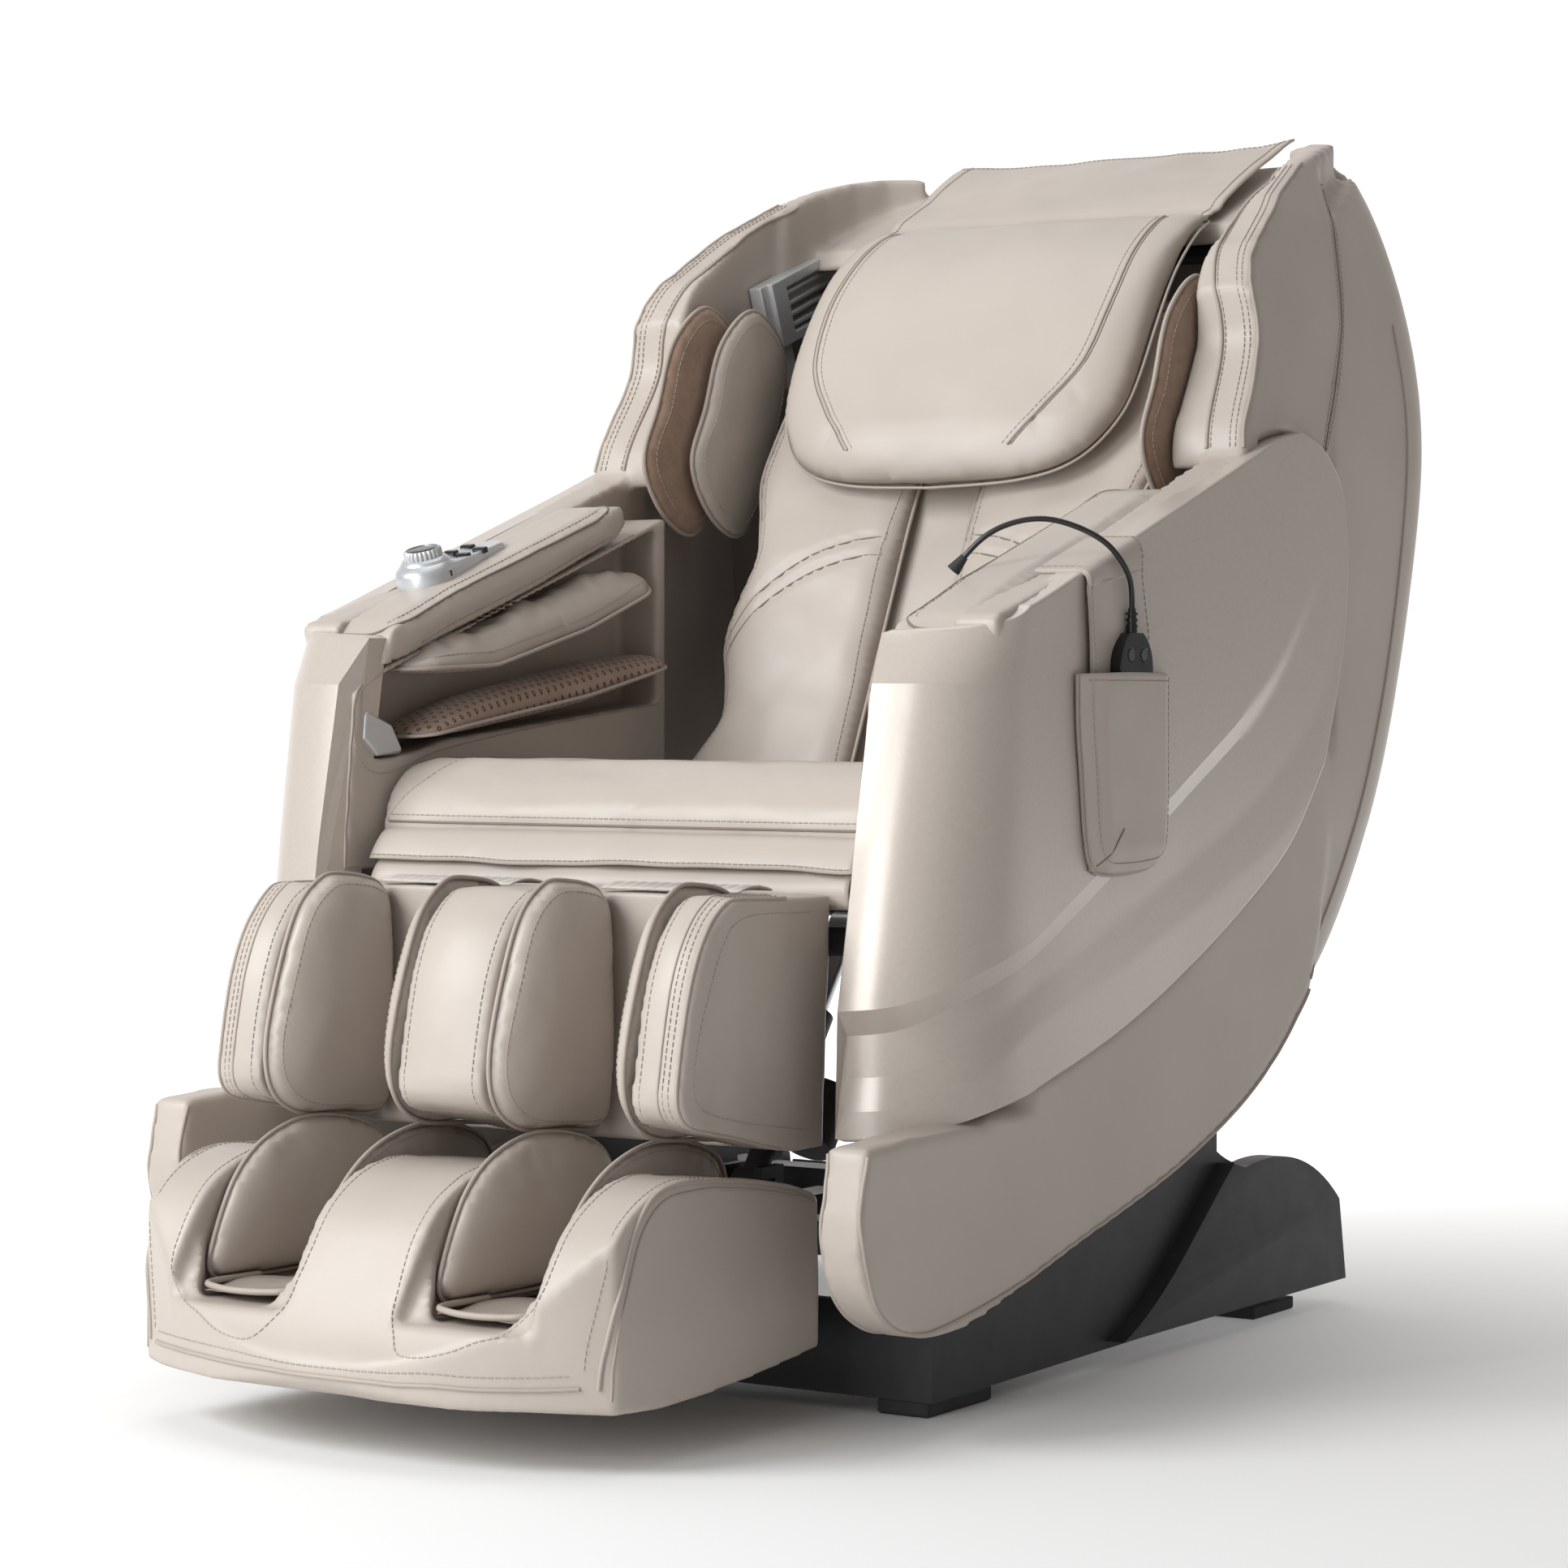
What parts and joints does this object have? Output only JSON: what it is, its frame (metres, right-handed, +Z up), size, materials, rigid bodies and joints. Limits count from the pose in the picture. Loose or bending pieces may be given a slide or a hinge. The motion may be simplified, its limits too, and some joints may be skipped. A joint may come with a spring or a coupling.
{
  "type": "massage chair",
  "caption": "Full-body massage chair: padded cradle between swept side shells on a gliding base, with lifting calf rest, sliding foot box, head pillow, arm control pod and corded handset.",
  "frame": {"origin": "middle of the chair's footprint, on the floor", "axes": "+Z up, the sitter faces -Y, +X towards the sitter's left arm"},
  "size_m": [0.817, 1.4276, 1.219],
  "materials": {
    "leather": "fine grained upholstery leather, satin",
    "airbag_leather": "soft thin leather",
    "dot_cloth": "woven cloth with a small dot print",
    "panel_plastic": "champagne satin paint",
    "base_plastic": "black, fine texture",
    "frame_steel": "black powder coat",
    "bare_steel": "zinc plated",
    "silver_plastic": "silver metallic paint",
    "black_gloss": "gloss black",
    "cord_rubber": "smooth black jacket",
    "rubber": "matt rubber",
    "roller_plastic": "moulded roller",
    "case_plastic": "moulded case"
  },
  "bodies": {
    "base": {"base_frame": "frame_steel", "base_cover": "base_plastic", "floor_pads": "rubber", "power_box": "case_plastic"},
    "wheel_left": {"transport_wheel_left": "rubber"},
    "wheel_right": {"transport_wheel_right": "rubber"},
    "power_switch": {"power_switch": "black_gloss"},
    "sled": {"glide_carriage": "frame_steel"},
    "recline_motor": {"recline_motor": "case_plastic"},
    "recline_rod": {"recline_rod": "bare_steel"},
    "cradle": {"seat_frame": "frame_steel", "side_shell_left": "leather", "side_shell_right": "leather", "side_panel_left": "panel_plastic", "side_panel_right": "panel_plastic", "back_cover": "leather", "track_rails": "bare_steel", "arm_left": "leather", "arm_right": "leather", "arm_pad_left": "leather", "arm_pad_right": "leather", "forearm_bags_left": "dot_cloth", "forearm_bags_right": "dot_cloth", "arm_trim_left": "silver_plastic", "arm_trim_right": "silver_plastic", "shoulder_bags_left": "airbag_leather", "shoulder_bags_right": "airbag_leather", "speaker_grille_left": "silver_plastic", "speaker_grille_right": "silver_plastic", "back_pad_left": "leather", "back_pad_right": "leather", "back_center_panel": "airbag_leather", "seat_cushion": "leather", "seat_flaps": "leather", "pillow_flap": "leather", "control_pod": "silver_plastic", "handset_pocket": "leather", "handset": "black_gloss", "handset_cord": "cord_rubber", "cord_gland": "case_plastic", "cord_relief": "cord_rubber", "air_pump": "case_plastic"},
    "pillow": {"pillow": "leather"},
    "knob": {"control_knob": "silver_plastic"},
    "pod_button_1": {"pod_button_1": "black_gloss"},
    "pod_button_2": {"pod_button_2": "black_gloss"},
    "pod_button_3": {"pod_button_3": "black_gloss"},
    "pod_button_4": {"pod_button_4": "black_gloss"},
    "handset_button_front": {"handset_button_front": "black_gloss"},
    "handset_button_rear": {"handset_button_rear": "black_gloss"},
    "massage_carriage": {"massage_carriage": "case_plastic"},
    "massage_arms": {"massage_arms": "bare_steel"},
    "roller_upper": {"roller_pair_upper": "roller_plastic"},
    "roller_lower": {"roller_pair_lower": "roller_plastic"},
    "legrest": {"legrest_frame": "frame_steel", "calf_block": "leather", "calf_bags": "airbag_leather"},
    "footbox": {"foot_box": "leather", "foot_liners": "airbag_leather"},
    "foot_roller": {"foot_roller": "bare_steel"}
  },
  "joints": [
    {"name": "wheel_left_spin", "type": "hinge", "parent": "base", "child": "wheel_left", "pos_m": [0.18, 0.495, 0.028], "axis": [1, 0, 0], "continuous": true},
    {"name": "wheel_right_spin", "type": "hinge", "parent": "base", "child": "wheel_right", "pos_m": [-0.18, 0.495, 0.028], "axis": [1, 0, 0], "continuous": true},
    {"name": "power_rocker", "type": "hinge", "parent": "base", "child": "power_switch", "pos_m": [-0.142, 0.512, 0.08], "axis": [1, 0, 0], "range_deg": [0, 14]},
    {"name": "base_glide", "type": "slide", "parent": "base", "child": "sled", "axis": [0, -1, 0], "range_m": [0, 0.1005]},
    {"name": "recline", "type": "hinge", "parent": "sled", "child": "cradle", "pos_m": [0, 0.175, 0.35], "axis": [-1, 0, 0], "range_deg": [0, 30]},
    {"name": "recline_motor_swing", "type": "hinge", "parent": "sled", "child": "recline_motor", "pos_m": [0, -0.065, 0.16], "axis": [-1, 0, 0], "range_deg": [0, 1.77]},
    {"name": "recline_rod_slide", "type": "slide", "parent": "recline_motor", "child": "recline_rod", "axis": [0, 0.5934, 0.8049], "range_m": [0, 0.04114]},
    {"name": "pillow_flip", "type": "hinge", "parent": "cradle", "child": "pillow", "pos_m": [0, 0.503, 1.128], "axis": [-1, 0, 0], "range_deg": [0, 110]},
    {"name": "knob_turn", "type": "hinge", "parent": "cradle", "child": "knob", "pos_m": [-0.334, -0.14117, 0.75822], "axis": [0, -0.3156, 0.9489], "continuous": true},
    {"name": "pod_button_1_press", "type": "slide", "parent": "cradle", "child": "pod_button_1", "axis": [0, 0.3156, -0.9489], "range_m": [0, 0.0015], "stiffness_N_per_m": 400, "springref_m": -0.0005},
    {"name": "pod_button_2_press", "type": "slide", "parent": "cradle", "child": "pod_button_2", "axis": [0, 0.3156, -0.9489], "range_m": [0, 0.0015], "stiffness_N_per_m": 400, "springref_m": -0.0005},
    {"name": "pod_button_3_press", "type": "slide", "parent": "cradle", "child": "pod_button_3", "axis": [0, 0.3156, -0.9489], "range_m": [0, 0.0015], "stiffness_N_per_m": 400, "springref_m": -0.0005},
    {"name": "pod_button_4_press", "type": "slide", "parent": "cradle", "child": "pod_button_4", "axis": [0, 0.3156, -0.9489], "range_m": [0, 0.0015], "stiffness_N_per_m": 400, "springref_m": -0.0005},
    {"name": "handset_button_front_press", "type": "slide", "parent": "cradle", "child": "handset_button_front", "axis": [-1, 0, 0], "range_m": [0, 0.001], "stiffness_N_per_m": 400, "springref_m": -0.0005},
    {"name": "handset_button_rear_press", "type": "slide", "parent": "cradle", "child": "handset_button_rear", "axis": [-1, 0, 0], "range_m": [0, 0.001], "stiffness_N_per_m": 400, "springref_m": -0.0005},
    {"name": "massage_travel", "type": "slide", "parent": "cradle", "child": "massage_carriage", "axis": [0, 0.4147, 0.91], "range_m": [0, 0.32]},
    {"name": "kneading_rock", "type": "hinge", "parent": "massage_carriage", "child": "massage_arms", "pos_m": [0, 0.32835, 0.59415], "axis": [1, 0, 0], "range_deg": [-6, 6]},
    {"name": "roller_upper_spin", "type": "hinge", "parent": "massage_arms", "child": "roller_upper", "pos_m": [0, 0.30559, 0.67925], "axis": [1, 0, 0], "continuous": true},
    {"name": "roller_lower_spin", "type": "hinge", "parent": "massage_arms", "child": "roller_lower", "pos_m": [0, 0.2492, 0.55549], "axis": [1, 0, 0], "continuous": true},
    {"name": "legrest_lift", "type": "hinge", "parent": "cradle", "child": "legrest", "pos_m": [0, -0.347, 0.424], "axis": [-1, 0, 0], "range_deg": [0, 78]},
    {"name": "foot_box_slide", "type": "slide", "parent": "legrest", "child": "footbox", "axis": [0, 0, -1], "range_m": [0, 0.0905]},
    {"name": "foot_roller_spin", "type": "hinge", "parent": "footbox", "child": "foot_roller", "pos_m": [0, -0.495, 0.084], "axis": [1, 0, 0], "continuous": true}
  ],
  "couplings": [
    {"joint": "base_glide", "follows": "recline", "m_per_rad": 0.19099},
    {"joint": "recline_motor_swing", "follows": "recline", "ratio": 0.055518},
    {"joint": "recline_rod_slide", "follows": "recline", "m_per_rad": 0.077613},
    {"joint": "foot_box_slide", "follows": "legrest_lift", "m_per_rad": 0.066111}
  ]
}
